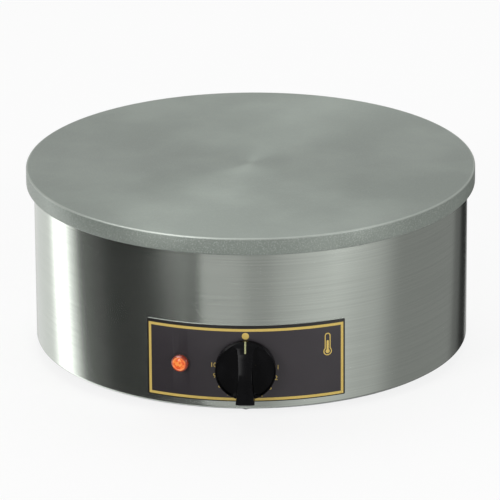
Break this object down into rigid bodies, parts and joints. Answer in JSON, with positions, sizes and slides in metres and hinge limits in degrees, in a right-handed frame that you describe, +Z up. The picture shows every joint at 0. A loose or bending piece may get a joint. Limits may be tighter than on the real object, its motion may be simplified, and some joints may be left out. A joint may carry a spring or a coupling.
{
  "type": "electric crepe maker",
  "caption": "Round iron cooking plate on a low stainless drum with a spiral element inside, a rotary thermostat knob, a pilot lamp and a rear cable gland.",
  "frame": {"origin": "on the floor under the centre of the drum, where the rubber feet stand", "axes": "+Z up through the cooking plate, -Y towards the front with its knob, +X to the right of someone facing the front"},
  "size_m": [0.3999, 0.4362, 0.1671],
  "materials": {
    "base_sheet": "plain pressed sheet",
    "copper_tube": "drawn copper",
    "drum_steel": "fine brushed round the drum",
    "element_sheath": "dark oxidised sheath",
    "foot_rubber": "matt moulded rubber",
    "gland_plastic": "moulded polyamide",
    "knob_plastic": "satin black moulding",
    "label_print": "printed dark ground with gold lines",
    "lamp_amber": "translucent amber lens",
    "mineral_board": "matt pressed board",
    "plate_iron": "turned and seasoned, satin",
    "shield_sheet": "dull aluminised sheet",
    "steel_hardware": "bright zinc plated",
    "switch_moulding": "matt phenolic moulding",
    "white_ceramic": "unglazed",
    "zinc_sheet": "zinc plated"
  },
  "bodies": {
    "root": {"base_nuts": "steel_hardware", "base_plate": "base_sheet", "base_screws": "steel_hardware", "block_screws": "steel_hardware", "bulb_clip": "zinc_sheet", "bulb_clip_screw": "steel_hardware", "cable_gland_body": "gland_plastic", "cable_gland_cap": "gland_plastic", "cable_gland_locknut": "gland_plastic", "cable_gland_seal": "foot_rubber", "control_label": "label_print", "cooking_plate": "plate_iron", "drum_wall": "drum_steel", "earth_nuts": "steel_hardware", "earth_stud": "steel_hardware", "element_insulators": "white_ceramic", "element_spreader": "zinc_sheet", "element_studs": "steel_hardware", "element_terminals": "steel_hardware", "foot_front_left": "foot_rubber", "foot_front_right": "foot_rubber", "foot_nuts": "steel_hardware", "foot_rear_left": "foot_rubber", "foot_rear_right": "foot_rubber", "foot_screws": "steel_hardware", "heat_shield": "shield_sheet", "heating_element": "element_sheath", "insulation_board": "mineral_board", "pilot_lamp_body": "switch_moulding", "pilot_lamp_clip": "zinc_sheet", "pilot_lamp_lens": "lamp_amber", "plate_clips": "zinc_sheet", "plate_nuts": "steel_hardware", "plate_studs": "steel_hardware", "shield_nuts": "steel_hardware", "shield_spacers": "steel_hardware", "spreader_nuts": "steel_hardware", "terminal_block": "white_ceramic", "terminal_screws": "steel_hardware", "thermostat_body": "switch_moulding", "thermostat_bracket": "zinc_sheet", "thermostat_capillary": "copper_tube", "thermostat_screws": "steel_hardware"},
    "knob": {"control_knob": "knob_plastic", "knob_spring": "steel_hardware", "thermostat_spindle": "steel_hardware"}
  },
  "joints": [
    {"name": "knob_turn", "type": "hinge", "parent": "root", "child": "knob", "pos_m": [0, -0.2, 0.046], "axis": [0, 1, 0], "range_deg": [0, 275]}
  ]
}
